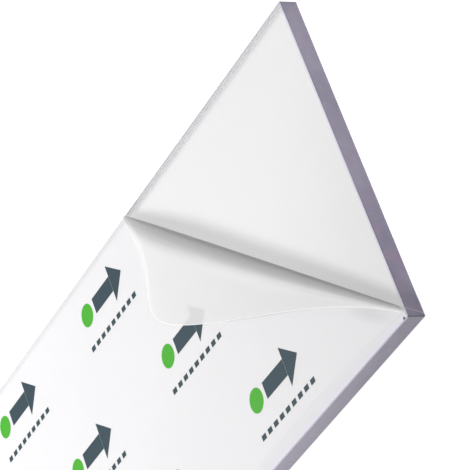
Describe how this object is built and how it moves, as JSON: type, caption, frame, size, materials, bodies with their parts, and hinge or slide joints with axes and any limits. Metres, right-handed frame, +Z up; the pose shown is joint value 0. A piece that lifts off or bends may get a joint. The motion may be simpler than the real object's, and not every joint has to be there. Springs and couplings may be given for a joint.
{
  "type": "clear polycarbonate sheet",
  "caption": "Cut panel of clear polycarbonate sheet with sawn edges, its masking film peeled back from one corner into a rolled flap.",
  "frame": {"origin": "centre of the clear sheet's lower face, on the floor that it lies on", "axes": "+X along the panel's length towards the cut end with the peeled corner, +Y across its width towards the peeled corner, +Z up out of the face that carries the masking film"},
  "size_m": [0.4, 0.18, 0.0233],
  "materials": {
    "clear_polycarbonate": "gloss",
    "masking_film": "satin"
  },
  "bodies": {
    "root": {"clear_sheet": "clear_polycarbonate", "masking_film": "masking_film"}
  },
  "joints": []
}
